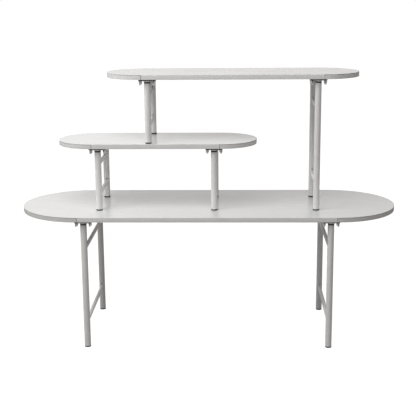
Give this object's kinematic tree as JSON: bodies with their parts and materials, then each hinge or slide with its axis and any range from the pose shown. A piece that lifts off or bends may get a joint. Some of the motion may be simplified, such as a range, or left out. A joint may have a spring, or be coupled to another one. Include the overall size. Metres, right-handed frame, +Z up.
{
  "type": "tiered display table",
  "caption": "Free-standing shop display of round-ended white tables that stand on one another in steps, with tube legs held by wing bolts.",
  "frame": {"origin": "on the floor, under the centre of the base tabletop", "axes": "+X along the tables towards the side of the upper table's long legs, -Y towards the customer, +Z up"},
  "size_m": [1.7996, 0.6, 1.28],
  "materials": {
    "board": "raw particle board",
    "laminate": "smooth high-pressure laminate, semi-gloss",
    "edge_band": "fine-grained ABS band",
    "insert": "turned",
    "plate": "black powder coat",
    "socket": "bright zinc plating",
    "bush": "moulded nylon",
    "foot": "moulded rubber",
    "tube": "off-white powder coat, semi-gloss",
    "wing_bolt": "zinc plated"
  },
  "bodies": {
    "base_table": {"base_core_board": "board", "base_laminate_sheets": "laminate", "base_edge_band": "edge_band", "base_threaded_inserts": "insert", "base_leg_plates": "plate", "base_leg_sockets": "socket", "base_leg_bushes": "bush", "base_feet": "foot", "base_left_legs": "tube", "base_left_crossbars": "tube", "base_right_legs": "tube", "base_right_crossbars": "tube"},
    "middle_table": {"middle_core_board": "board", "middle_laminate_sheets": "laminate", "middle_edge_band": "edge_band", "middle_threaded_inserts": "insert", "middle_leg_plates": "plate", "middle_leg_sockets": "socket", "middle_leg_bushes": "bush", "middle_feet": "foot", "middle_left_legs": "tube", "middle_left_crossbars": "tube", "middle_right_legs": "tube", "middle_right_crossbars": "tube"},
    "upper_table": {"upper_core_board": "board", "upper_laminate_sheets": "laminate", "upper_edge_band": "edge_band", "upper_threaded_inserts": "insert", "upper_leg_plates": "plate", "upper_leg_sockets": "socket", "upper_leg_bushes": "bush", "upper_feet": "foot", "upper_left_legs": "tube", "upper_left_crossbars": "tube", "upper_right_legs": "tube", "upper_right_crossbars": "tube"},
    "base_left_front_outer_wing_bolt": {"base_left_front_outer_wing_bolt": "wing_bolt"},
    "base_left_front_inner_wing_bolt": {"base_left_front_inner_wing_bolt": "wing_bolt"},
    "base_left_rear_outer_wing_bolt": {"base_left_rear_outer_wing_bolt": "wing_bolt"},
    "base_left_rear_inner_wing_bolt": {"base_left_rear_inner_wing_bolt": "wing_bolt"},
    "base_right_front_outer_wing_bolt": {"base_right_front_outer_wing_bolt": "wing_bolt"},
    "base_right_front_inner_wing_bolt": {"base_right_front_inner_wing_bolt": "wing_bolt"},
    "base_right_rear_outer_wing_bolt": {"base_right_rear_outer_wing_bolt": "wing_bolt"},
    "base_right_rear_inner_wing_bolt": {"base_right_rear_inner_wing_bolt": "wing_bolt"},
    "middle_left_front_outer_wing_bolt": {"middle_left_front_outer_wing_bolt": "wing_bolt"},
    "middle_left_front_inner_wing_bolt": {"middle_left_front_inner_wing_bolt": "wing_bolt"},
    "middle_left_rear_outer_wing_bolt": {"middle_left_rear_outer_wing_bolt": "wing_bolt"},
    "middle_left_rear_inner_wing_bolt": {"middle_left_rear_inner_wing_bolt": "wing_bolt"},
    "middle_right_front_outer_wing_bolt": {"middle_right_front_outer_wing_bolt": "wing_bolt"},
    "middle_right_front_inner_wing_bolt": {"middle_right_front_inner_wing_bolt": "wing_bolt"},
    "middle_right_rear_outer_wing_bolt": {"middle_right_rear_outer_wing_bolt": "wing_bolt"},
    "middle_right_rear_inner_wing_bolt": {"middle_right_rear_inner_wing_bolt": "wing_bolt"},
    "upper_left_front_outer_wing_bolt": {"upper_left_front_outer_wing_bolt": "wing_bolt"},
    "upper_left_front_inner_wing_bolt": {"upper_left_front_inner_wing_bolt": "wing_bolt"},
    "upper_left_rear_outer_wing_bolt": {"upper_left_rear_outer_wing_bolt": "wing_bolt"},
    "upper_left_rear_inner_wing_bolt": {"upper_left_rear_inner_wing_bolt": "wing_bolt"},
    "upper_right_front_outer_wing_bolt": {"upper_right_front_outer_wing_bolt": "wing_bolt"},
    "upper_right_front_inner_wing_bolt": {"upper_right_front_inner_wing_bolt": "wing_bolt"},
    "upper_right_rear_outer_wing_bolt": {"upper_right_rear_outer_wing_bolt": "wing_bolt"},
    "upper_right_rear_inner_wing_bolt": {"upper_right_rear_inner_wing_bolt": "wing_bolt"}
  },
  "joints": [
    {"name": "middle_table_lift", "type": "slide", "parent": "base_table", "child": "middle_table", "axis": [0, 0, 1], "range_m": [0, 0.1]},
    {"name": "upper_table_lift", "type": "slide", "parent": "middle_table", "child": "upper_table", "axis": [0, 0, 1], "range_m": [0, 0.35]},
    {"name": "base_left_front_outer_wing_bolt_turn", "type": "hinge", "parent": "base_table", "child": "base_left_front_outer_wing_bolt", "pos_m": [-0.605, -0.268, 0.612], "axis": [0, 0, -1], "range_deg": [0, 3744]},
    {"name": "base_left_front_inner_wing_bolt_turn", "type": "hinge", "parent": "base_table", "child": "base_left_front_inner_wing_bolt", "pos_m": [-0.541, -0.268, 0.612], "axis": [0, 0, -1], "range_deg": [0, 3744]},
    {"name": "base_left_rear_outer_wing_bolt_turn", "type": "hinge", "parent": "base_table", "child": "base_left_rear_outer_wing_bolt", "pos_m": [-0.605, 0.268, 0.612], "axis": [0, 0, -1], "range_deg": [0, 3744]},
    {"name": "base_left_rear_inner_wing_bolt_turn", "type": "hinge", "parent": "base_table", "child": "base_left_rear_inner_wing_bolt", "pos_m": [-0.541, 0.268, 0.612], "axis": [0, 0, -1], "range_deg": [0, 3744]},
    {"name": "base_right_front_outer_wing_bolt_turn", "type": "hinge", "parent": "base_table", "child": "base_right_front_outer_wing_bolt", "pos_m": [0.605, -0.268, 0.612], "axis": [0, 0, -1], "range_deg": [0, 3744]},
    {"name": "base_right_front_inner_wing_bolt_turn", "type": "hinge", "parent": "base_table", "child": "base_right_front_inner_wing_bolt", "pos_m": [0.541, -0.268, 0.612], "axis": [0, 0, -1], "range_deg": [0, 3744]},
    {"name": "base_right_rear_outer_wing_bolt_turn", "type": "hinge", "parent": "base_table", "child": "base_right_rear_outer_wing_bolt", "pos_m": [0.605, 0.268, 0.612], "axis": [0, 0, -1], "range_deg": [0, 3744]},
    {"name": "base_right_rear_inner_wing_bolt_turn", "type": "hinge", "parent": "base_table", "child": "base_right_rear_inner_wing_bolt", "pos_m": [0.541, 0.268, 0.612], "axis": [0, 0, -1], "range_deg": [0, 3744]},
    {"name": "middle_left_front_outer_wing_bolt_turn", "type": "hinge", "parent": "middle_table", "child": "middle_left_front_outer_wing_bolt", "pos_m": [-0.545, -0.143, 0.932], "axis": [0, 0, -1], "range_deg": [0, 3744]},
    {"name": "middle_left_front_inner_wing_bolt_turn", "type": "hinge", "parent": "middle_table", "child": "middle_left_front_inner_wing_bolt", "pos_m": [-0.481, -0.143, 0.932], "axis": [0, 0, -1], "range_deg": [0, 3744]},
    {"name": "middle_left_rear_outer_wing_bolt_turn", "type": "hinge", "parent": "middle_table", "child": "middle_left_rear_outer_wing_bolt", "pos_m": [-0.545, 0.143, 0.932], "axis": [0, 0, -1], "range_deg": [0, 3744]},
    {"name": "middle_left_rear_inner_wing_bolt_turn", "type": "hinge", "parent": "middle_table", "child": "middle_left_rear_inner_wing_bolt", "pos_m": [-0.481, 0.143, 0.932], "axis": [0, 0, -1], "range_deg": [0, 3744]},
    {"name": "middle_right_front_outer_wing_bolt_turn", "type": "hinge", "parent": "middle_table", "child": "middle_right_front_outer_wing_bolt", "pos_m": [0.065, -0.143, 0.932], "axis": [0, 0, -1], "range_deg": [0, 3744]},
    {"name": "middle_right_front_inner_wing_bolt_turn", "type": "hinge", "parent": "middle_table", "child": "middle_right_front_inner_wing_bolt", "pos_m": [0.001, -0.143, 0.932], "axis": [0, 0, -1], "range_deg": [0, 3744]},
    {"name": "middle_right_rear_outer_wing_bolt_turn", "type": "hinge", "parent": "middle_table", "child": "middle_right_rear_outer_wing_bolt", "pos_m": [0.065, 0.143, 0.932], "axis": [0, 0, -1], "range_deg": [0, 3744]},
    {"name": "middle_right_rear_inner_wing_bolt_turn", "type": "hinge", "parent": "middle_table", "child": "middle_right_rear_inner_wing_bolt", "pos_m": [0.001, 0.143, 0.932], "axis": [0, 0, -1], "range_deg": [0, 3744]},
    {"name": "upper_left_front_outer_wing_bolt_turn", "type": "hinge", "parent": "upper_table", "child": "upper_left_front_outer_wing_bolt", "pos_m": [-0.305, -0.143, 1.252], "axis": [0, 0, -1], "range_deg": [0, 3744]},
    {"name": "upper_left_front_inner_wing_bolt_turn", "type": "hinge", "parent": "upper_table", "child": "upper_left_front_inner_wing_bolt", "pos_m": [-0.241, -0.143, 1.252], "axis": [0, 0, -1], "range_deg": [0, 3744]},
    {"name": "upper_left_rear_outer_wing_bolt_turn", "type": "hinge", "parent": "upper_table", "child": "upper_left_rear_outer_wing_bolt", "pos_m": [-0.305, 0.143, 1.252], "axis": [0, 0, -1], "range_deg": [0, 3744]},
    {"name": "upper_left_rear_inner_wing_bolt_turn", "type": "hinge", "parent": "upper_table", "child": "upper_left_rear_inner_wing_bolt", "pos_m": [-0.241, 0.143, 1.252], "axis": [0, 0, -1], "range_deg": [0, 3744]},
    {"name": "upper_right_front_outer_wing_bolt_turn", "type": "hinge", "parent": "upper_table", "child": "upper_right_front_outer_wing_bolt", "pos_m": [0.545, -0.143, 1.252], "axis": [0, 0, -1], "range_deg": [0, 3744]},
    {"name": "upper_right_front_inner_wing_bolt_turn", "type": "hinge", "parent": "upper_table", "child": "upper_right_front_inner_wing_bolt", "pos_m": [0.481, -0.143, 1.252], "axis": [0, 0, -1], "range_deg": [0, 3744]},
    {"name": "upper_right_rear_outer_wing_bolt_turn", "type": "hinge", "parent": "upper_table", "child": "upper_right_rear_outer_wing_bolt", "pos_m": [0.545, 0.143, 1.252], "axis": [0, 0, -1], "range_deg": [0, 3744]},
    {"name": "upper_right_rear_inner_wing_bolt_turn", "type": "hinge", "parent": "upper_table", "child": "upper_right_rear_inner_wing_bolt", "pos_m": [0.481, 0.143, 1.252], "axis": [0, 0, -1], "range_deg": [0, 3744]}
  ]
}
